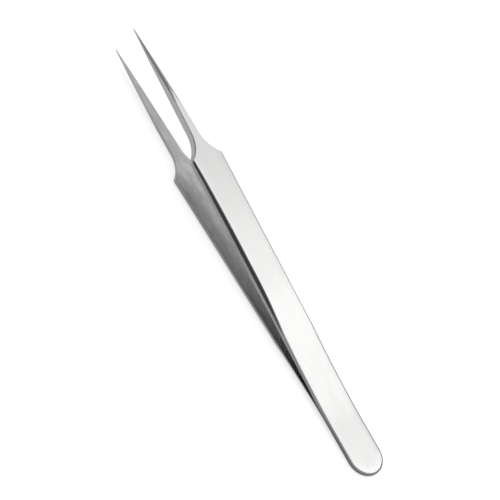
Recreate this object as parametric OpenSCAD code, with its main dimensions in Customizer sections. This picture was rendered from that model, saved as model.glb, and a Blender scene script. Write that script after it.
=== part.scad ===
// Straight precision tweezers with needle points, in millimetres.
// Two ground steel arms are welded face to face at the tail and spread towards the points.
// The arms are drawn about a middle plane, X towards the points and Z across the opening.
// Then the pair is tipped by a few degrees, as it lies on the lower arm's outer face.
// +X runs to the points, +Z is up, and the origin is on the ground under the middle.

/* [Overall] */
// Overall length along the middle plane
overall_len = 110; // [95:0.5:130]
// Clear opening between the points
point_gap = 8.5; // [6:0.1:11]

/* [Tail] */
// Width of the tail, which ends in a half round
tail_w = 8.9; // [7:0.1:11]
// Thickness of one arm at the tail
tail_t = 0.6; // [0.4:0.05:0.65]
// Length of the weld from the tail's end
weld_len = 12; // [8:0.5:16]

/* [Spring] */
// Length of the bend that follows the weld
bend_len = 8; // [4:0.5:12]
// Slope of each arm's inner face, away from the middle plane
splay = 3.4; // [2.9:0.1:3.9]
// Distance from the tail's end at which the arm starts to thicken
thicken_start = 25; // [22:0.5:30]
// Distance from the tail's end at which the arm has its full thickness
thicken_end = 47; // [42:0.5:52]

/* [Grip] */
// Full thickness of one arm
grip_t = 1.35; // [1.1:0.05:1.7]
// Width across the shoulders
shoulder_w = 8.8; // [7:0.1:11]
// Distance from the tail's end to the shoulders
shoulder_x = 77.2; // [74:0.2:82]
// Distance from the tail's end at which the arms start to bow back
bow_start = 56; // [52:0.5:62]
// Distance from the tail's end at which the bow ends and the arms run straight to the points
bow_end = 80; // [72:0.5:82]
// Height of the straight side wall that the edge bevel leaves
land_h = 0.65; // [0.6:0.05:0.9]
// Angle of the edge bevel to the outer face
bevel_angle = 45; // [35:1:55]

/* [Neck] */
// Radius of the scoops ahead of the shoulders
scoop_r = 8.2; // [6:0.1:10]
// Width of the inner face where the scoops run out
neck_w = 2.7; // [2.4:0.1:3.3]
// Lean of the neck's flanks towards the outer face
flank_lean = 15; // [8:1:20]

/* [Points] */
// Distance from the end of the points at which the neck facets start
facets_from_end = 21; // [19:0.5:24]
// Distance from the end of the points at which the neck facets meet in a ridge
ridge_from_end = 14; // [11:0.5:16]
// Length of the fine taper at the end
point_len = 8; // [6:0.5:10]
// Width of the inner face where the fine taper starts
point_w = 1.15; // [1:0.05:1.4]
// Thickness at the end of the points
tip_t = 0.18; // [0.1:0.01:0.3]
// Width at the end of the points
tip_w = 0.2; // [0.1:0.01:0.3]
// Angle of the facets to the outer face, seen from the end
facet_angle = 35; // [28:1:42]

/* [Hidden] */

$fn = 180;
// How far a cutting tool reaches past what it cuts
spare = 6;
// Numbers of straight steps that stand for a curved stretch of the arm's side outline
bend_steps = 6;
thicken_steps = 16;
bow_steps = 12;

bend_end = weld_len + bend_len;
splay_slope = tan(splay);
bend_rise = splay_slope * bend_len / 2;
bow_len = bow_end - bow_start;
bow_rise = bend_rise + splay_slope * (bow_start - bend_end);
// Slope ahead of the bow that brings the points to their opening
end_slope = (point_gap / 2 - bow_rise - splay_slope * bow_len / 2) / (overall_len - bow_end + bow_len / 2);

// Height of the inner face above the middle plane: flat, bend, straight, bow, straight
function inner_z(x) =
    x <= weld_len ? 0
    : x <= bend_end ? splay_slope * pow(x - weld_len, 2) / (2 * bend_len)
    : x <= bow_start ? bend_rise + splay_slope * (x - bend_end)
    : x <= bow_end ? bow_rise + splay_slope * (x - bow_start)
                     - (splay_slope - end_slope) * pow(x - bow_start, 2) / (2 * bow_len)
    : point_gap / 2 - end_slope * (overall_len - x);

// Smooth step from 0 to 1
function ease(s) = s * s * (3 - 2 * s);

// Thickness of one arm, thin where it springs and thick where it is held
function arm_t(x) =
    x <= thicken_start ? tail_t
    : x >= thicken_end ? grip_t
    : tail_t + (grip_t - tail_t) * ease((x - thicken_start) / (thicken_end - thicken_start));

function outer_z(x) = inner_z(x) + arm_t(x);

// Points from one distance to another in equal steps, without the first
function stretch(from, to, steps) = [for (i = [1 : steps]) from + (to - from) * i / steps];

INNER_X = concat([0, weld_len], stretch(weld_len, bend_end, bend_steps),
                 [bow_start], stretch(bow_start, bow_end, bow_steps), [overall_len]);
OUTER_X = concat([0, weld_len], stretch(weld_len, bend_end, bend_steps),
                 [thicken_start], stretch(thicken_start, thicken_end, thicken_steps),
                 [bow_start], stretch(bow_start, bow_end, bow_steps), [overall_len]);

// Depths that the wheel takes off, measured square to the leaned flank
scoop_drop = (shoulder_w - neck_w) / 2 * cos(flank_lean);
point_drop = (neck_w - point_w) / 2 * cos(flank_lean);
tip_drop = (neck_w - tip_w) / 2 * cos(flank_lean);
// Where the scoops run out, so that they pass through the shoulder corners
scoop_run = sqrt(pow(scoop_r, 2) - pow(scoop_r - scoop_drop, 2));
neck_x = shoulder_x + scoop_run;
neck_len = overall_len - neck_x;
point_x = overall_len - point_len;
ridge_x = overall_len - ridge_from_end;

head_slope = atan(end_slope);
// Half the width of the outer face where the neck facets start from its edges
facets_x = overall_len - facets_from_end;
flank_taper = (neck_w - point_w) / 2 / (point_x - neck_x);
face_half = neck_w / 2 - flank_taper * (facets_x - neck_x) - grip_t * tan(flank_lean);
// How far a facet's edge moves in across the outer face for each millimetre of length
facet_run = face_half / (ridge_x - facets_x);
// Height of the ridge above the inner face where the fine taper starts
point_t = arm_t(point_x) - facet_run * (point_x - ridge_x) * tan(facet_angle);
point_fall = atan((point_t - tip_t) / point_len);

// The pair rests on the tail's end and on the lower arm's bulge
REST_X = [for (x = OUTER_X) if (x > bend_end && x <= shoulder_x) x];
rest_tilt = atan(max([for (x = REST_X) (outer_z(x) - tail_t) / x]));
rest_lift = tail_t * cos(rest_tilt);
tail_back = -tail_t * sin(rest_tilt);
points_front = overall_len * cos(rest_tilt) + (point_gap / 2 + tip_t) * sin(rest_tilt);
origin_x = (tail_back + points_front) / 2;

// Side outline of one arm, carried across its width
module side_body() {
    outline = concat([for (x = OUTER_X) [x, outer_z(x)]],
                     [for (i = [len(INNER_X) - 1 : -1 : 0]) [INNER_X[i], inner_z(INNER_X[i])]]);
    rotate([90, 0, 0])
        linear_extrude(height = tail_w + shoulder_w, center = true)
            polygon(outline);
}

// Plan form of one arm before the neck is ground: a half round tail and straight sides
module plan_body() {
    tail_r = tail_w / 2;
    height = point_gap + 2 * grip_t;
    translate([tail_r, 0, 0])
        cylinder(r = tail_r, h = height);
    linear_extrude(height = height)
        polygon([[tail_r, tail_r], [shoulder_x, shoulder_w / 2], [overall_len, shoulder_w / 2],
                 [overall_len, -shoulder_w / 2], [shoulder_x, -shoulder_w / 2], [tail_r, -tail_r]]);
}

// Sheet blank, curved in side view and cut to the plan form
module blank() {
    intersection() {
        side_body();
        plan_body();
    }
}

// What the wheel takes off one flank of the neck: a round scoop, then two straight tapers
module flank_grind() {
    reach = shoulder_w;
    translate([neck_x, 0, inner_z(neck_x)])
        rotate([0, -head_slope, 0])
            translate([0, neck_w / 2, 0])
                rotate([flank_lean, 0, 0])
                    linear_extrude(height = 2 * reach, center = true) {
                        intersection() {
                            translate([0, scoop_r])
                                circle(r = scoop_r);
                            translate([-scoop_run - spare, 0])
                                square([scoop_run + spare, reach]);
                        }
                        polygon([[0, 0], [neck_len - point_len, -point_drop],
                                 [neck_len, -tip_drop], [neck_len + spare, -tip_drop],
                                 [neck_len + spare, reach], [0, reach]]);
                    }
}

// Half space whose lower face is a plane through the X axis, falling towards +Y
module slope_cut(angle, back, ahead) {
    rotate([-angle, 0, 0])
        translate([-back, -shoulder_w, 0])
            cube([back + ahead, 2 * shoulder_w, shoulder_w]);
}

// Flat edge bevel of the grip, parallel to the straight stretch of the inner face
module edge_bevel() {
    taper = atan((tail_w - shoulder_w) / 2 / (shoulder_x - tail_w / 2));
    translate([shoulder_x, shoulder_w / 2, bend_rise + splay_slope * (shoulder_x - bend_end) + land_h])
        rotate([0, -splay, -taper])
            slope_cut(bevel_angle, shoulder_x - bend_end, spare);
}

// Neck facet, which runs in across the outer face until it meets its fellow in the ridge
module neck_facet() {
    translate([ridge_x, 0, outer_z(ridge_x)])
        rotate([0, -head_slope, 0])
            rotate([0, 0, -atan(facet_run)])
                slope_cut(facet_angle, ridge_x - neck_x, ridge_from_end + spare);
}

// Steeper facet of the fine taper
module point_facet() {
    translate([overall_len, 0, point_gap / 2 + tip_t])
        rotate([0, point_fall - head_slope, 0])
            slope_cut(facet_angle, point_len + spare, spare);
}

// The same cut on both sides of the arm
module both_sides() {
    children();
    mirror([0, 1, 0])
        children();
}

module arm() {
    difference() {
        blank();
        both_sides() {
            flank_grind();
            edge_bevel();
            neck_facet();
            point_facet();
        }
    }
}

// Lays the pair on the ground
module at_rest() {
    translate([-origin_x, 0, rest_lift])
        rotate([0, -rest_tilt, 0])
            children();
}

module upper_arm() {
    color([0.86, 0.86, 0.87])
        at_rest()
            arm();
}

module lower_arm() {
    color([0.62, 0.62, 0.64])
        at_rest()
            mirror([0, 0, 1])
                arm();
}

upper_arm();
lower_arm();
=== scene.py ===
"""Straight needle-point tweezers: two finished steel arms, a plain studio and the camera."""

import math

import bpy
import numpy as np
from bpy.props import FloatProperty, FloatVectorProperty, PointerProperty
from mathutils import Matrix


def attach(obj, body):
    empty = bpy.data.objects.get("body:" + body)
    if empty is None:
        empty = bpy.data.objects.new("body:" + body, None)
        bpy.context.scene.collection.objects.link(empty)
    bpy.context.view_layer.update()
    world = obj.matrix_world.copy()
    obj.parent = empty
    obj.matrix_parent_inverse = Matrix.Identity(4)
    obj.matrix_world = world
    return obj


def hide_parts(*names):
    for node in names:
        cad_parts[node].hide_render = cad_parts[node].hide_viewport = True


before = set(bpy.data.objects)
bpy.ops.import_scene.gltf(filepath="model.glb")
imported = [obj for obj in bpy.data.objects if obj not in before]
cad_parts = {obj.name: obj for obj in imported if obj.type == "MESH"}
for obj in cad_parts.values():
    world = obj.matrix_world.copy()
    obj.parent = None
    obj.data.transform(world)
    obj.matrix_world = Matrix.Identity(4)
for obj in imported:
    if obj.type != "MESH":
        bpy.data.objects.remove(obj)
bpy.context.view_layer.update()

bl_info = {
    "name": "Needle-point tweezers",
    "version": (1, 0, 0),
    "blender": (4, 5, 0),
    "location": "3D View > Sidebar > Tweezers",
    "description": "Builds the finished arms of straight precision tweezers and a plain studio",
    "category": "Object",
}

MM = 0.001
DEG = math.pi / 180

# Finishes, in the order of the arms' material slots
INNER, SIDE, BEVEL, FACE, POINT = range(5)

# Finishes of a section's four straights, and of the arcs between them
STRAIGHT_FINISH = (INNER, SIDE, BEVEL, FACE)
ARC_FINISH = (SIDE, SIDE, BEVEL)

# Cells of an arm's mesh: round the tail, round a tip, on a section's straights and on its arcs
TAIL_CELLS = 40
TIP_CELLS = 7
SECTION_CELLS = (8, 4, 2, 10)
ARC_CELLS = 6

# Points that agree to this many decimals of a metre are one
MERGE_DECIMALS = 8

# Least length that is divided by, so that an edge of no length doesn't stop the script
TINY = 1e-9

# Scale of the grinding streaks along, across and through the arm, and how deep they are
STREAK_SCALE = (40, 2600, 2600)
STREAK_DEPTH = 0.02 * MM

# Tone of the worn edges against the rest of the steel, which also paints a highlight along them
WORN_HIGHLIGHT_TONE = 1.05

# Reflected cards: azimuth and elevation in degrees, then distance, width and height in metres
CARDS = {
    "dark_card": (170, 38, 0.9, 0.85, 0.8),
    "bright_card": (-13, 49, 4.0, 2.0, 2.5),
    "grey_card": (104, 30, 4.0, 5.2, 4.6),
    "low_card": (2, 15, 2.0, 4.0, 1.25),
}

# Half side and grain of the floor, place and diameter of the lamp
FLOOR_HALF = 3
FLOOR_GRAIN = 30
LAMP_PLACE = (0.1, 0.1, 0.9)
LAMP_SIZE = 0.8

# The camera's sensor in millimetres, and the nearest and farthest that it sees in metres
SENSOR_WIDTH = 36.0
CLIP_NEAR = 0.01
CLIP_FAR = 20.0


def length(name, description, value):
    """A length property in metres, with its default given in millimetres."""
    return FloatProperty(name=name, description=description, default=value * MM, min=0.0,
                         precision=5, subtype="DISTANCE", unit="LENGTH")


def angle(name, description, value):
    """An angle property, with its default given in degrees."""
    return FloatProperty(name=name, description=description, default=value * DEG,
                         subtype="ANGLE", unit="ROTATION")


def share(name, description, value, top=1.0):
    """A plain number from zero to top."""
    return FloatProperty(name=name, description=description, default=value, min=0.0, max=top)


def tint(name, description, value):
    """A colour property in linear light."""
    return FloatVectorProperty(name=name, description=description, default=value, size=3,
                               min=0.0, max=1.0, subtype="COLOR")


class ArmSizes(bpy.types.PropertyGroup):
    """Sizes of one arm, the same as in the part's source, and the finish of its edges.

    The places that follow from them are distances from the tail's end, as shoulder_x is.
    """

    overall_len: length("Overall length", "Length along the middle plane", 110)
    point_gap: length("Point gap", "Clear opening between the points", 8.5)
    tail_w: length("Tail width", "Width of the half round tail", 8.9)
    tail_t: length("Tail thickness", "Thickness of one arm at the tail", 0.6)
    weld_len: length("Weld length", "Length of the weld from the tail's end", 12)
    bend_len: length("Bend length", "Length of the bend that follows the weld", 8)
    splay: angle("Splay", "Slope of the inner face away from the middle plane", 3.4)
    thicken_start: length("Thickening start", "Where the arm starts to thicken", 25)
    thicken_end: length("Thickening end", "Where the arm has its full thickness", 47)
    grip_t: length("Grip thickness", "Full thickness of one arm", 1.35)
    shoulder_w: length("Shoulder width", "Width across the shoulders", 8.8)
    shoulder_x: length("Shoulder place", "Distance from the tail's end to the shoulders", 77.2)
    bow_start: length("Bow start", "Where the arms start to bow back", 56)
    bow_end: length("Bow end", "Where the arms run straight to the points", 80)
    land_h: length("Land height", "Height of the side wall under the edge bevel", 0.65)
    bevel_angle: angle("Bevel angle", "Angle of the edge bevel to the outer face", 45)
    scoop_r: length("Scoop radius", "Radius of the scoops ahead of the shoulders", 8.2)
    neck_w: length("Neck width", "Width of the inner face where the scoops run out", 2.7)
    flank_lean: angle("Flank lean", "Lean of the neck's flanks towards the outer face", 15)
    facets_from_end: length("Facet start", "Where the neck facets start, from the points' end", 21)
    ridge_from_end: length("Ridge place", "Where the neck facets meet, from the points' end", 14)
    point_len: length("Point length", "Length of the fine taper", 8)
    point_w: length("Point width", "Width where the fine taper starts", 1.15)
    tip_t: length("Tip thickness", "Thickness at the end of the points", 0.18)
    tip_w: length("Tip width", "Width at the end of the points", 0.2)
    facet_angle: angle("Facet angle", "Angle of the facets to the outer face", 35)
    edge_break: length("Edge break", "Width of the stoned edge round the outer face", 0.06)
    tail_round: length("Tail round", "Width of the rounded edge round the tail", 0.26)
    throat_break: length("Throat break", "Width of the steep stoned edge in the scoops", 0.2)
    throat_angle: angle("Throat angle", "Angle of the scoops' stoned edge to the outer face", 55)
    inner_round: length("Inner edge round", "Radius of the inner face's edges", 0.05)
    foot_round: length("Bevel foot round", "Radius between the side wall and the grip's bevel", 0.24)
    face_round: length("Face edge round", "Radius between the grip's bevel and the outer face", 0.14)
    neck_round: length("Neck edge round", "Radius of the neck's outer edges", 0.06)
    shoulder_soft: length("Shoulder softness", "Reach of the soft shoulder corner", 0.25)
    point_round: length("Point round", "Radius that softens the facets of the points", 0.3)
    crown: length("Crown", "Fall of the buffed outer face at its edges", 0.16)

    @property
    def tail_r(self):
        """Radius of the half round tail."""
        return self.tail_w / 2

    @property
    def bend_end(self):
        """Where the bend ends."""
        return self.weld_len + self.bend_len

    @property
    def neck_x(self):
        """Where the scoops run out: a scoop's circle stands square to the leaning flank."""
        drop = (self.shoulder_w - self.neck_w) / 2 * math.cos(self.flank_lean)
        return self.shoulder_x + math.sqrt(self.scoop_r ** 2 - (self.scoop_r - drop) ** 2)

    @property
    def facets_x(self):
        """Where the neck facets start."""
        return self.overall_len - self.facets_from_end

    @property
    def ridge_x(self):
        """Where the neck facets meet."""
        return self.overall_len - self.ridge_from_end

    @property
    def point_x(self):
        """Where the fine taper starts."""
        return self.overall_len - self.point_len


class SteelLook(bpy.types.PropertyGroup):
    """Colours and finishes of the steel, with every tint but the face's darkened as painted shade."""

    face_tint: tint("Face", "Polished outer face", (0.657, 0.655, 0.650))
    face_rough: share("Face roughness", "Roughness of the outer face", 0.23)
    # Painted shade: the bevels get a far darker steel than the outer face, for the dark that they mirror
    bevel_shade_tint: tint("Bevel", "Ground bevels of the grip", (0.22, 0.22, 0.22))
    bevel_rough: share("Bevel roughness", "Roughness of the bevels", 0.2)
    # Painted shade: the side walls get a darker steel than the outer face
    side_shade_tint: tint("Side", "Satin side walls", (0.27, 0.27, 0.27))
    # Painted shade: the tail's side walls are darker still, as if the floor beside them lay in shadow
    tail_shade_tint: tint("Tail side", "Sheared side walls of the tail", (0.15, 0.15, 0.15))
    side_rough: share("Side roughness", "Roughness of the side walls", 0.42)
    # Painted shade: the neck and point get a darker steel than the outer face
    point_shade_tint: tint("Point", "Ground walls and facets of the neck and point", (0.335, 0.335, 0.335))
    point_rough: share("Point roughness", "Roughness of the neck and point", 0.32)
    # Painted shade: both inner-face tints are darker steel than the outer face, for the shade between
    # the arms
    inner_shade_tint: tint("Inner face", "Brushed inner face", (0.45, 0.45, 0.45))
    needle_shade_tint: tint("Needle inner face", "Inner face of the neck and point", (0.41, 0.41, 0.41))
    inner_rough: share("Inner roughness", "Roughness of the inner face", 0.31)


class StudioLook(bpy.types.PropertyGroup):
    """Light, floor and the photograph's viewing angle."""

    azimuth: angle("Azimuth", "Camera's turn about Z, 0 looks along +Y", 201.42)
    elevation: angle("Elevation", "Camera's height above the horizon", 46.68)
    roll: angle("Roll", "Camera's roll about its own axis", 42.03)
    distance: length("Distance", "Camera's distance from its aim", 600)
    aim: FloatVectorProperty(name="Aim", description="Point that the camera looks at", size=3,
                             default=(0.000081, -0.000584, 0.004247), subtype="XYZ", unit="LENGTH")
    lens: FloatProperty(name="Lens", description="Focal length in millimetres", default=201.44)
    world_level: share("World level", "Strength of the even light on the object", 0.8, 2.0)
    lamp_power: share("Lamp power", "Power of the soft overhead lamp in watts", 6.0, 100.0)
    floor_tint: tint("Floor", "Colour of the pale floor", (0.86, 0.86, 0.86))
    floor_glow: share("Floor glow", "How far the camera sees the floor as plain white", 0.7)
    floor_gleam: share("Floor gleam", "How far gloss sees the floor as plain white", 0.15)
    dark_card: share("Dark card", "Level of the dark card on the camera's side", 0.16)
    bright_card: share("Bright card", "Level of the bright card on the far side", 1.55, 2.0)
    grey_card: share("Grey card", "Level of the grey card beyond the points", 0.5)
    low_card: share("Low card", "Level of the low grey card on the far side", 0.3)


# Shape of one arm

def ease(t):
    """Smooth step: 3 t squared minus 2 t cubed, with t held between 0 and 1."""
    t = np.clip(t, 0, 1)
    return t * t * (3 - 2 * t)


def soft_min(a, b, reach):
    """The lesser of a and b; where they differ by less than reach it dips by a parabola."""
    near = np.clip(reach - np.abs(a - b), 0, None)
    return np.minimum(a, b) - near ** 2 / (4 * reach)


def straight_rise(s, x):
    """Height of the straight stretch past the bend: the bend's own rise, then the splay's slope."""
    slope = math.tan(s.splay)
    return slope * s.bend_len / 2 + slope * (x - s.bend_end)


def end_slope(s):
    """Slope of the inner face from the bow to the points, so that it ends at half the point gap."""
    bow_len = s.bow_end - s.bow_start
    rest = s.point_gap / 2 - straight_rise(s, s.bow_start) - math.tan(s.splay) * bow_len / 2
    return rest / (s.overall_len - s.bow_end + bow_len / 2)


def inner_height(s, x):
    """Height of the inner face over the middle plane at distance x from the tail's end.

    It is 0 along the weld, a parabola through the bend, a straight line at the splay's slope,
    a parabola through the bow, and a straight line that ends at half the point gap.
    """
    slope, end = math.tan(s.splay), end_slope(s)
    bend = slope * (x - s.weld_len) ** 2 / (2 * s.bend_len)
    straight = straight_rise(s, x)
    bow = straight - (slope - end) * (x - s.bow_start) ** 2 / (2 * (s.bow_end - s.bow_start))
    head = s.point_gap / 2 - end * (s.overall_len - x)
    return np.select([x <= s.weld_len, x <= s.bend_end, x <= s.bow_start, x <= s.bow_end],
                     [0 * x, bend, straight, bow], head)


def arm_thickness(s, x):
    """Tail thickness, then a smooth step up to the grip thickness."""
    step = ease((x - s.thicken_start) / (s.thicken_end - s.thicken_start))
    return s.tail_t + (s.grip_t - s.tail_t) * step


def rest_place(s):
    """(tilt, lift, origin) that lay the pair on the lower arm's tail end and bulge.

    The tilt is the steepest line from the tail's lower corner to the outer face, the lift brings
    the tail's corner to the ground, and the origin is the middle of the tilted length.
    """
    samples = 2000
    x = np.linspace(s.bend_end, s.shoulder_x, samples)
    outer = inner_height(s, x) + arm_thickness(s, x)
    tilt = math.atan(((outer - s.tail_t) / x).max())
    back = -s.tail_t * math.sin(tilt)
    front = s.overall_len * math.cos(tilt) + (s.point_gap / 2 + s.tip_t) * math.sin(tilt)
    return tilt, s.tail_t * math.cos(tilt), (back + front) / 2


def at_rest(s, points):
    """Turns points about Y by the tilt, lifts them to the ground and centres them."""
    tilt, lift, origin = rest_place(s)
    x, y, z = points[..., 0], points[..., 1], points[..., 2]
    return np.stack([x * math.cos(tilt) - z * math.sin(tilt) - origin, y,
                     x * math.sin(tilt) + z * math.cos(tilt) + lift], -1)


def stations(s):
    """(x, way, shrink) of each station from the tail round to the point.

    x is where the station's half section stands on the centre line, and way is the direction in
    plan in which it runs out. A fan of half planes turns about the centre of the half round tail,
    and then planes across the arm follow it, closer together where the outline turns. shrink is
    1, and falls to 0 as a cosine over the round of the tip.
    """
    near = 0.6 * MM
    tip_r = s.tip_w / 2
    stretches = [(s.weld_len, 8), (s.bend_end, 12), (s.thicken_start, 6), (s.thicken_end, 26),
                 (s.bow_start, 9), (s.shoulder_x - near, 24), (s.shoulder_x + near, 24),
                 (s.neck_x, 40), (s.ridge_x, 44), (s.point_x, 8), (s.overall_len - near, 30),
                 (s.overall_len - tip_r, 8)]
    starts = [s.tail_r] + [stop for stop, _ in stretches]
    runs = [np.linspace(start, stop, cells + 1)[1:] for start, (stop, cells) in zip(starts, stretches)]
    fan = np.linspace(math.pi, math.pi / 2, TAIL_CELLS + 1)
    tip = np.linspace(0, math.pi / 2, TIP_CELLS + 1)[1:]
    x = np.concatenate([np.full(fan.shape, s.tail_r), *runs,
                        s.overall_len - tip_r + tip_r * np.sin(tip)])
    way = np.zeros((len(x), 2))
    way[:, 1] = 1
    way[:len(fan)] = np.stack([np.cos(fan), np.sin(fan)], -1)
    shrink = np.ones(len(x))
    shrink[-len(tip):] = np.cos(tip)
    return x, way, shrink


def side_and_flank(s, x):
    """Half widths of the inner face: of the straight side, and of the ground flank ahead of it.

    The side tapers evenly from the tail to the shoulders. The flank is the circle of the scoop,
    stretched by the flank's lean, and then runs in straight along the neck and the point. Behind
    the shoulders the circle is held just short of its full radius.
    """
    taper = (s.shoulder_w / 2 - s.tail_r) / (s.shoulder_x - s.tail_r)
    side = s.tail_r + taper * (x - s.tail_r)
    held_at = 0.985 * s.scoop_r
    back = np.clip(s.neck_x - x, 0, held_at)
    scoop = s.neck_w / 2 + (s.scoop_r - np.sqrt(s.scoop_r ** 2 - back ** 2)) / math.cos(s.flank_lean)
    run_in = np.interp(x, [s.neck_x, s.point_x, s.overall_len],
                       [s.neck_w / 2, s.point_w / 2, s.tip_w / 2])
    return side, np.where(x < s.neck_x, scoop, run_in)


def cut_slope(s, x):
    """Slope of the cut along the outer face's edge: the bevel's, the scoops', then the facets'."""
    bevel_end, throat_start = s.shoulder_x - 0.5 * MM, s.shoulder_x + 1.5 * MM
    throat_end, facets_full = s.facets_x - 2 * MM, s.facets_x + 1 * MM
    throat = math.tan(s.throat_angle)
    return np.interp(x, [bevel_end, throat_start, throat_end, facets_full],
                     [math.tan(s.bevel_angle), throat, throat, math.tan(s.facet_angle)])


def break_width(s, x):
    """Width of the edge break: wide round the thin tail and in the scoops, narrow elsewhere."""
    thin_end, grip_start = (s.thicken_start + s.thicken_end) / 2, s.thicken_end + 3 * MM
    grip_end, throat_start = s.shoulder_x - 1 * MM, s.shoulder_x + 0.6 * MM
    return np.interp(x, [thin_end, grip_start, grip_end, throat_start, s.neck_x - 2 * MM, s.neck_x],
                     [s.tail_round, s.edge_break, s.edge_break, s.throat_break,
                      s.throat_break / 2, s.edge_break])


def cut_height(s, x, cut, outer, side, corner):
    """Height over the centre line of the lowest of the planes that cut off the outer corner.

    All fall outwards at the cut's slope. The edge break lies its width inside the corner. The
    edge bevel leaves the land on the side wall, along the straight line of the spring. The neck
    facets run in to the ridge over the outer face's half width, and the back of the point falls
    from the facets' height to the tip. Each counts only along its own stretch.
    """
    bevel_stop = s.shoulder_x + 4 * MM
    facet_from, point_from = s.facets_x - 1 * MM, s.ridge_x - 5 * MM
    neck_taper = (s.neck_w - s.point_w) / 2 / (s.point_x - s.neck_x)
    face_half = s.neck_w / 2 - neck_taper * (s.facets_x - s.neck_x) - s.grip_t * math.tan(s.flank_lean)
    run_in = face_half / (s.ridge_x - s.facets_x)
    point_t = s.grip_t - run_in * (s.point_x - s.ridge_x) * math.tan(s.facet_angle)
    fall = math.tan(math.atan((point_t - s.tip_t) / s.point_len) - math.atan(end_slope(s)))

    edge_break = outer + cut * (corner - break_width(s, x))
    bevel = straight_rise(s, x) + s.land_h + cut * side
    facet = outer + cut * run_in * (s.ridge_x - x)
    point_back = s.point_gap / 2 + s.tip_t + (s.overall_len - x) * fall
    return np.min([edge_break,
                   np.where((x > s.bend_end) & (x < bevel_stop), bevel, np.inf),
                   np.where(x >= facet_from, facet, np.inf),
                   np.where(x > point_from, point_back, np.inf)], axis=0)


def section_corners(s, x):
    """Corners of the half section at each x: inner centre, inner edge, bevel foot, face edge, centre.

    The half width at a height is the soft lesser of the straight side and the ground flank, which
    leans in with height. The bevel foot is where the lowest cut meets the side or the flank,
    softly the higher of the two places, and the face edge is where the cut meets the outer face.
    Along the point a narrow ridge is left of the face.
    """
    side, flank = side_and_flank(s, x)
    lean = math.tan(s.flank_lean)
    inner = inner_height(s, x)
    outer = inner + arm_thickness(s, x)

    def half_width(z):
        return soft_min(side, flank - (z - inner) * lean, s.shoulder_soft)

    cut = cut_slope(s, x)
    top = cut_height(s, x, cut, outer, side, half_width(outer))
    foot_on_side = top - cut * side
    foot_on_flank = (top - cut * flank - cut * lean * inner) / (1 - cut * lean)
    foot_soft, least_bevel = 0.05 * MM, 0.002 * MM
    foot = -soft_min(-foot_on_side, -foot_on_flank, foot_soft)
    sharp, worn = 0.02 * MM, 0.1 * MM
    ridge = np.interp(x, [s.facets_x, s.ridge_x, s.point_x, s.overall_len], [sharp, worn, worn, sharp])
    face_y = np.maximum((top - outer) / cut, ridge)
    face_z = np.minimum(outer, top - cut * face_y)
    foot = np.minimum(foot, face_z - least_bevel)
    centre = 0 * x
    corners = [(centre, inner), (half_width(inner), inner), (half_width(foot), foot),
               (face_y, face_z), (centre, face_z)]
    return np.stack([np.stack(corner, -1) for corner in corners], 1)


def rounded_chain(corners, radii, cells, support):
    """Points along a chain of corners, with every inner corner turned into a quadratic Bezier arc.

    An arc starts and ends its radius away from the corner, at most 0.45 of either edge, or 0.9 of
    the last one. Each straight has a point the support's length from both ends, or a fifth of it,
    so that the shading of an arc doesn't spread. Returns the points, the finish of each cell and
    how worn each point is, a mark that also paints a highlight on the arcs.
    """
    part, last_part, support_part = 0.45, 0.9, 0.2
    edge = np.diff(corners, axis=1)
    size = np.linalg.norm(edge, axis=2)
    way = edge / np.maximum(size, TINY)[..., None]
    last = edge.shape[1] - 1
    reach = [np.zeros(len(corners))]
    for k in range(last):
        after = size[:, k + 1] * (last_part if k + 1 == last else part)
        reach.append(np.minimum(radii[k], np.minimum(part * size[:, k], after)))
    reach.append(np.zeros(len(corners)))
    points, finish, wear_and_highlight = [], [], []
    for k in range(last + 1):
        free = size[:, k] - reach[k] - reach[k + 1]
        near = np.minimum(support / np.maximum(free, TINY), support_part)[:, None]
        inside = np.linspace(0, 1, cells[k] + 1)[None, :]
        at = np.concatenate([0 * near, near + (1 - 2 * near) * inside, 0 * near + 1], 1)
        along = reach[k][:, None] + free[:, None] * at
        points.append(corners[:, k, None] + way[:, k, None] * along[..., None])
        # Worn points that also carry a painted highlight: the arcs and the straights' ends beside them
        wear_and_highlight += [float(k > 0)] + [0.0] * (cells[k] + 1) + [float(k < last)]
        finish += [STRAIGHT_FINISH[k]] * (cells[k] + 2)
        if k < last:
            t = np.linspace(0, 1, ARC_CELLS + 1)[1:-1][None, :, None]
            corner = corners[:, k + 1, None]
            start = corner - way[:, k, None] * reach[k + 1][:, None, None]
            stop = corner + way[:, k + 1, None] * reach[k + 1][:, None, None]
            points.append((1 - t) ** 2 * start + 2 * t * (1 - t) * corner + t ** 2 * stop)
            wear_and_highlight += [1.0] * (ARC_CELLS - 1)
            finish += [ARC_FINISH[k]] * ARC_CELLS
    return np.concatenate(points, 1), np.array(finish), np.array(wear_and_highlight)


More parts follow.
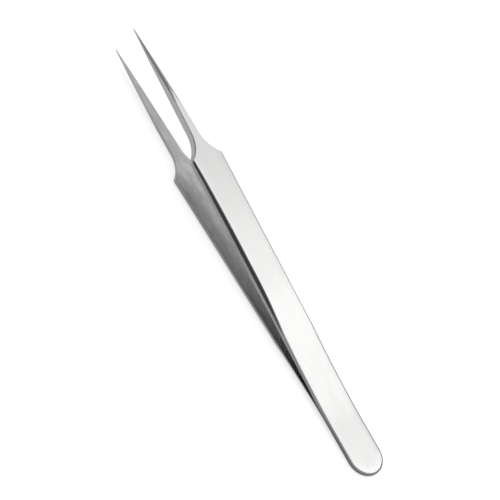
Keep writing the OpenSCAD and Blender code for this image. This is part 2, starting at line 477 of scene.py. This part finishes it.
def arm_half(s):
    """(x of the stations, grid of points of the half arm with y from 0 up, finish, wear).

    Each station's rounded half section stands on the centre line and runs out in the station's
    direction. Above the bevel's foot it falls by the crown times the seventh power of y over the
    half width, as buffing leaves it. The last stations shrink about the tip's middle by a
    quarter round. The finish is that of each column of cells, and the worn mark, which also paints a
    highlight on the edges, that of each point.
    """
    x, way, shrink = stations(s)
    corners = section_corners(s, x)
    grip_end = s.shoulder_x - 1 * MM
    grip_fade = grip_end - 5 * MM
    foot = np.interp(x, [grip_fade, grip_end], [s.foot_round, s.neck_round])
    face = np.interp(x, [grip_fade, grip_end, s.facets_x, s.facets_x + 4 * MM],
                     [s.face_round, s.neck_round, s.neck_round, s.point_round])
    support, crown_power = 0.03 * MM, 7
    section, finish, wear_and_highlight = rounded_chain(corners, [s.inner_round, foot, face], SECTION_CELLS, support)
    out, z = section[..., 0], section[..., 1]
    inner, low, top = corners[:, :1, 1], corners[:, 2:3, 1], corners[:, 4:, 1]
    rise = np.clip((z - low) / np.maximum(top - low, TINY), 0, 1)
    z = z - s.crown * (out / s.tail_r) ** crown_power * rise
    out = out * shrink[:, None]
    middle = inner + s.tip_t / 2
    z = middle + (z - middle) * shrink[:, None]
    return x, np.stack([x[:, None] + way[:, :1] * out, way[:, 1:] * out, z], -1), finish, wear_and_highlight


def finish_grid(s, x, finish):
    """Finish of each cell between two stations: that of its column, with two changes.

    Ahead of the shoulders the walls and cut edges are as the wheel leaves the point, and ahead of
    the ridge so is the outer face. The point's finish is darker steel, painted shade.
    """
    x = x[:-1, None]
    grid = np.tile(finish, (len(x), 1))
    ground = (x > s.shoulder_x - 0.5 * MM) & ((grid == SIDE) | (grid == BEVEL))
    ground |= (x > s.ridge_x) & (grid == FACE)
    return np.where(ground, POINT, grid)


def grid_triangles(rows, columns, flip):
    """Two triangles for each cell of a grid, with the corners turned round where flip is set."""
    i, j = np.meshgrid(np.arange(rows - 1), np.arange(columns - 1), indexing="ij")
    a = (i * columns + j).ravel()
    b, c, d = a + 1, a + columns, a + columns + 1
    tris = np.stack([np.stack([a, b, c], -1), np.stack([b, d, c], -1)], 1).reshape(-1, 3)
    return tris[:, ::-1] if flip else tris


def fade(x, start, stop, columns):
    """1 on the points of both halves before start, 0 past stop, and a smooth step between them."""
    return np.tile(np.repeat(ease((stop - x) / (stop - start)), columns), 2)


def arm_mesh(s, name, lower):
    """Closed mesh of one arm: the half grid and its mirror image, joined along the middle.

    The lower arm is the upper one with its height reversed. Points that fall together are made
    one, and triangles that lose a corner by that are left out. The marks on the points tell the
    materials where edges are worn and carry a painted highlight, and where one tint goes over into
    another, as where the tail's side walls turn to their painted shade.
    """
    x, half, finish, wear_and_highlight = arm_half(s)
    rows, columns = half.shape[:2]
    other = half * np.array([1, -1, 1])
    points = np.concatenate([half.reshape(-1, 3), other.reshape(-1, 3)])
    tris = np.concatenate([grid_triangles(rows, columns, lower),
                           grid_triangles(rows, columns, not lower) + rows * columns])
    finish = np.tile(np.repeat(finish_grid(s, x, finish).ravel(), 2), 2)
    # Worn edges that also carry a painted highlight
    marks = {"wear_and_highlight": np.tile(wear_and_highlight, 2 * rows),
             "tail_bevel": fade(x, s.thicken_start, s.thicken_end, columns),
             # Painted shade on the tail's side walls: full along the weld, gone past the bend
             "tail_side_shade": fade(x, s.weld_len, s.bend_end, columns),
             "needle_inner": 1 - fade(x, s.shoulder_x, s.neck_x, columns)}
    if lower:
        points = points * np.array([1, 1, -1])
    points = at_rest(s, points)
    _, first, index = np.unique(np.round(points, MERGE_DECIMALS), axis=0,
                                return_index=True, return_inverse=True)
    tris = index.ravel()[tris]
    whole = (tris[:, 0] != tris[:, 1]) & (tris[:, 1] != tris[:, 2]) & (tris[:, 2] != tris[:, 0])
    marks = {mark: values[first] for mark, values in marks.items()}
    return steel_mesh(name, points[first], tris[whole], finish[whole], marks)


def steel_mesh(name, points, tris, finish, marks):
    """Mesh with smooth triangles, a material index for each and named values on its points."""
    mesh = bpy.data.meshes.new(name)
    mesh.vertices.add(len(points))
    mesh.vertices.foreach_set("co", points.astype(np.float32).ravel())
    mesh.loops.add(tris.size)
    mesh.loops.foreach_set("vertex_index", tris.astype(np.int32).ravel())
    mesh.polygons.add(len(tris))
    mesh.polygons.foreach_set("loop_start", np.arange(0, tris.size, 3, dtype=np.int32))
    mesh.polygons.foreach_set("material_index", finish.astype(np.int32))
    mesh.update(calc_edges=True)
    mesh.polygons.foreach_set("use_smooth", np.ones(len(tris), dtype=bool))
    for mark, values in marks.items():
        mesh.attributes.new(mark, "FLOAT", "POINT").data.foreach_set("value", values.astype(np.float32))
    if mesh.validate():
        raise RuntimeError(f"the mesh of {name} wasn't valid")
    return mesh


def add_object(name, data):
    """An object of that mesh, lamp or camera at the origin, in the scene's own collection."""
    piece = bpy.data.objects.new(name, data)
    bpy.context.scene.collection.objects.link(piece)
    return piece


# Steel

def new_material(name):
    """(material, its node tree, its Principled shader) with nodes on."""
    material = bpy.data.materials.new(name)
    material.use_nodes = True
    return material, material.node_tree, material.node_tree.nodes["Principled BSDF"]


def noise(tree, scale, detail, rough=0.55):
    """Noise factor on Object coordinates, with a scale for each axis."""
    place = tree.nodes.new("ShaderNodeTexCoord")
    mapping = tree.nodes.new("ShaderNodeMapping")
    mapping.inputs["Scale"].default_value = scale
    texture = tree.nodes.new("ShaderNodeTexNoise")
    texture.inputs["Scale"].default_value = 1.0
    texture.inputs["Detail"].default_value = detail
    texture.inputs["Roughness"].default_value = rough
    tree.links.new(place.outputs["Object"], mapping.inputs["Vector"])
    tree.links.new(mapping.outputs["Vector"], texture.inputs["Vector"])
    return texture.outputs["Fac"]


def remap(tree, value, low, high, start=0.3, stop=0.7):
    """Value mapped from start..stop to low..high and held there."""
    node = tree.nodes.new("ShaderNodeMapRange")
    node.inputs["From Min"].default_value = start
    node.inputs["From Max"].default_value = stop
    node.inputs["To Min"].default_value = low
    node.inputs["To Max"].default_value = high
    tree.links.new(value, node.inputs["Value"])
    return node.outputs["Result"]


def mix_tint(tree, factor, a, b, blend="MIX"):
    """Colour that goes from a to a blended with b as the factor goes from 0 to 1.

    The factor, a and b are numbers, colours or sockets.
    """
    node = tree.nodes.new("ShaderNodeMix")
    node.data_type, node.blend_type = "RGBA", blend
    factor_in, a_in, b_in = node.inputs[0], node.inputs[6], node.inputs[7]
    for socket, value in ((factor_in, factor), (a_in, a), (b_in, b)):
        if isinstance(value, bpy.types.NodeSocket):
            tree.links.new(value, socket)
        else:
            socket.default_value = value if socket == factor_in else (*value, 1.0)
    return node.outputs[2]


def attribute(tree, name):
    """The mesh attribute of that name as a factor."""
    node = tree.nodes.new("ShaderNodeAttribute")
    node.attribute_name = name
    return node.outputs["Fac"]


def steel(name, colour, roughness, blotch=250, contrast=0.06, lines=0.02, relief=0.05,
          turned=None, mark=""):
    """Ground steel: streaks along the arm in colour, gloss and relief, soft blotches, brighter edges.

    The colour is multiplied by three factors near 1, for the blotches, the streaks and the worn
    edges, whose factor also paints a highlight on them. With a turned colour, it goes over to
    that one where the mesh has the mark.
    """
    material, tree, shader = new_material(name)
    streaks = noise(tree, STREAK_SCALE, 4.0, 0.6)
    blotches = noise(tree, (blotch / 2, blotch, blotch), 2.0, 0.5)
    base = mix_tint(tree, attribute(tree, mark), colour, turned) if turned else colour
    # The last factor brightens the worn edges, a painted highlight as well as worn steel
    for factor in (remap(tree, blotches, 1 - contrast, 1 + contrast),
                   remap(tree, streaks, 1 + lines, 1 - lines),
                   remap(tree, attribute(tree, "wear_and_highlight"), 1.0, WORN_HIGHLIGHT_TONE, 0.0, 1.0)):
        base = mix_tint(tree, 1.0, base, factor, "MULTIPLY")
    tree.links.new(base, shader.inputs["Base Color"])
    tree.links.new(remap(tree, streaks, 0.9 * roughness, 1.12 * roughness), shader.inputs["Roughness"])
    shader.inputs["Metallic"].default_value = 1.0
    bump = tree.nodes.new("ShaderNodeBump")
    bump.inputs["Strength"].default_value = relief
    bump.inputs["Distance"].default_value = STREAK_DEPTH
    tree.links.new(streaks, bump.inputs["Height"])
    tree.links.new(bump.outputs["Normal"], shader.inputs["Normal"])
    return material


def steel_finishes(look):
    """The arms' finishes in the order of their slots: inner face, side, bevel, outer face, point."""
    # All finishes but the outer face's have tints darkened with painted shade
    return [
        steel("brushed_inner_face_painted_shade", look.inner_shade_tint, look.inner_rough, blotch=700, contrast=0.12,
              lines=0.09, relief=0.15, turned=look.needle_shade_tint, mark="needle_inner"),
        # The side walls turn to the darker tail tint, painted shade, behind the bend
        steel("satin_side_painted_shade", look.side_shade_tint, look.side_rough, contrast=0.08,
              turned=look.tail_shade_tint, mark="tail_side_shade"),
        steel("ground_bevel_painted_shade", look.bevel_shade_tint, look.bevel_rough, contrast=0.05,
              turned=look.side_shade_tint, mark="tail_bevel"),
        steel("polished_outer_face", look.face_tint, look.face_rough, contrast=0.015,
              lines=0.006, relief=0.02),
        steel("ground_point_painted_shade", look.point_shade_tint, look.point_rough),
    ]


class TWEEZERS_OT_arms(bpy.types.Operator):
    """Build both finished arms and give them their steel"""

    bl_idname = "tweezers.arms"
    bl_label = "Finished arms"

    def execute(self, context):
        finishes = steel_finishes(context.scene.tweezers_steel)
        for name, node, lower in (("arm_front", "upper_arm", False), ("arm_back", "lower_arm", True)):
            mesh = arm_mesh(context.scene.tweezers_sizes, name, lower)
            for material in finishes:
                mesh.materials.append(material)
            piece = add_object(name, mesh)
            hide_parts(node)
            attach(piece, "root")
        return {"FINISHED"}


# Studio

def camera_axes(azimuth, elevation, roll):
    """(right, up, back) of a camera from its turn, height and roll."""
    back = np.array([math.sin(azimuth) * math.cos(elevation), -math.cos(azimuth) * math.cos(elevation),
                     math.sin(elevation)])
    level = np.array([math.cos(azimuth), math.sin(azimuth), 0.0])
    above = np.cross(back, level)
    right = math.cos(roll) * level + math.sin(roll) * above
    up = math.cos(roll) * above - math.sin(roll) * level
    return right, up, back


def white_glow(tree, level=1.0):
    """Shader output of a white emission of that strength."""
    glow = tree.nodes.new("ShaderNodeEmission")
    glow.inputs["Color"].default_value = (1, 1, 1, 1)
    glow.inputs["Strength"].default_value = level
    return glow.outputs["Emission"]


def card(name, level, azimuth, elevation, distance, width, height):
    """A flat glowing card that only reflections see, square to its direction from the object."""
    right, up, back = camera_axes(azimuth * DEG, elevation * DEG, 0.0)
    corners = [back * distance + right * width * a + up * height * b
               for a, b in ((-0.5, -0.5), (0.5, -0.5), (0.5, 0.5), (-0.5, 0.5))]
    mesh = bpy.data.meshes.new(name)
    mesh.from_pydata([tuple(c) for c in corners], [], [(0, 1, 2, 3)])
    material, tree, shader = new_material(name)
    tree.nodes.remove(shader)
    tree.links.new(white_glow(tree, level), tree.nodes["Material Output"].inputs["Surface"])
    mesh.materials.append(material)
    piece = add_object(name, mesh)
    piece.visible_camera = piece.visible_diffuse = False
    piece.visible_shadow = piece.visible_transmission = False


def arithmetic(tree, operation, a, b):
    """Result of a Math node on a socket and a number or socket."""
    node = tree.nodes.new("ShaderNodeMath")
    node.operation = operation
    tree.links.new(a, node.inputs[0])
    if isinstance(b, bpy.types.NodeSocket):
        tree.links.new(b, node.inputs[1])
    else:
        node.inputs[1].default_value = b
    return node.outputs[0]


def seen_plainly(tree, glow=1.0, gleam=1.0):
    """Glow for camera rays, gleam for glossy and transmission rays, 0 for light on the object."""
    path = tree.nodes.new("ShaderNodeLightPath")
    seen = arithmetic(tree, "MULTIPLY", path.outputs["Is Camera Ray"], glow)
    for name in ("Is Glossy Ray", "Is Transmission Ray"):
        seen = arithmetic(tree, "MAXIMUM", seen, arithmetic(tree, "MULTIPLY", path.outputs[name], gleam))
    return seen


def floor_material(look):
    """Pale matt floor that shows as white to the camera and in reflections, with a soft shadow."""
    material, tree, shader = new_material("pale_floor")
    grain = noise(tree, (FLOOR_GRAIN, FLOOR_GRAIN, FLOOR_GRAIN), 2.0)
    tone = tuple(c * 0.99 for c in look.floor_tint)
    tree.links.new(mix_tint(tree, grain, look.floor_tint, tone), shader.inputs["Base Color"])
    shader.inputs["Roughness"].default_value = 0.9
    shader.inputs["Specular IOR Level"].default_value = 0.0
    mix = tree.nodes.new("ShaderNodeMixShader")
    tree.links.new(seen_plainly(tree, look.floor_glow, look.floor_gleam), mix.inputs["Fac"])
    tree.links.new(shader.outputs["BSDF"], mix.inputs[1])
    tree.links.new(white_glow(tree), mix.inputs[2])
    tree.links.new(mix.outputs["Shader"], tree.nodes["Material Output"].inputs["Surface"])
    return material


def add_floor(look):
    """A square floor at the height that the tweezers lie on."""
    mesh = bpy.data.meshes.new("studio_floor")
    corners = [(FLOOR_HALF * a, FLOOR_HALF * b, 0) for a, b in ((-1, -1), (1, -1), (1, 1), (-1, 1))]
    mesh.from_pydata(corners, [], [(0, 1, 2, 3)])
    mesh.materials.append(floor_material(look))
    add_object("studio_floor", mesh)


def light_world(scene, level):
    """Even white light of that level on the object, in a world that shows as white."""
    world = scene.world or bpy.data.worlds.new("studio_world")
    scene.world = world
    world.use_nodes = True
    tree = world.node_tree
    sky = tree.nodes["Background"]
    sky.inputs["Color"].default_value = (1, 1, 1, 1)
    strength = remap(tree, seen_plainly(tree), level, 1.0, 0.0, 1.0)
    tree.links.new(strength, sky.inputs["Strength"])


def add_lamp(power):
    """A soft round lamp overhead that reflections don't see."""
    lamp = bpy.data.lights.new("soft_lamp", "AREA")
    lamp.shape = "DISK"
    lamp.size = LAMP_SIZE
    lamp.energy = power
    piece = add_object("soft_lamp", lamp)
    piece.location = LAMP_PLACE
    piece.visible_glossy = False


def add_camera(scene, look):
    """The camera at the photograph's viewing angle."""
    right, up, back = camera_axes(look.azimuth, look.elevation, look.roll)
    camera = bpy.data.cameras.new("photo_camera")
    camera.lens = look.lens
    camera.sensor_width = SENSOR_WIDTH
    camera.sensor_fit = "HORIZONTAL"
    camera.clip_start = CLIP_NEAR
    camera.clip_end = CLIP_FAR
    eye = add_object("photo_camera", camera)
    turn = Matrix([list(map(float, row)) for row in np.stack([right, up, back], -1)]).to_4x4()
    place = np.array(look.aim) + back * look.distance
    eye.matrix_world = Matrix.Translation([float(v) for v in place]) @ turn
    scene.camera = eye


class TWEEZERS_OT_studio(bpy.types.Operator):
    """Build the pale floor, the studio cards, the light and the camera"""

    bl_idname = "tweezers.studio"
    bl_label = "Studio and camera"

    def execute(self, context):
        scene, look = context.scene, context.scene.tweezers_studio
        add_floor(look)
        for name, place in CARDS.items():
            card(name, getattr(look, name), *place)
        light_world(scene, look.world_level)
        add_lamp(look.lamp_power)
        add_camera(scene, look)
        scene.view_settings.view_transform = "Standard"
        return {"FINISHED"}


class TWEEZERS_PT_panel(bpy.types.Panel):
    """Sidebar panel that lists the build steps"""

    bl_idname = "TWEEZERS_PT_panel"
    bl_label = "Tweezers"
    bl_space_type = "VIEW_3D"
    bl_region_type = "UI"
    bl_category = "Tweezers"

    def draw(self, context):
        self.layout.operator("tweezers.arms")
        self.layout.operator("tweezers.studio")


CLASSES = (ArmSizes, SteelLook, StudioLook, TWEEZERS_OT_arms, TWEEZERS_OT_studio, TWEEZERS_PT_panel)


def register():
    """Registers the classes and gives every scene its sizes and looks."""
    for cls in CLASSES:
        bpy.utils.register_class(cls)
    bpy.types.Scene.tweezers_sizes = PointerProperty(type=ArmSizes)
    bpy.types.Scene.tweezers_steel = PointerProperty(type=SteelLook)
    bpy.types.Scene.tweezers_studio = PointerProperty(type=StudioLook)


def unregister():
    """Takes back what register adds, in the opposite order."""
    del bpy.types.Scene.tweezers_studio
    del bpy.types.Scene.tweezers_steel
    del bpy.types.Scene.tweezers_sizes
    for cls in reversed(CLASSES):
        bpy.utils.unregister_class(cls)


def main():
    """Builds the arms and the studio."""
    register()
    bpy.ops.tweezers.arms()
    bpy.ops.tweezers.studio()


if __name__ == "__main__":
    main()
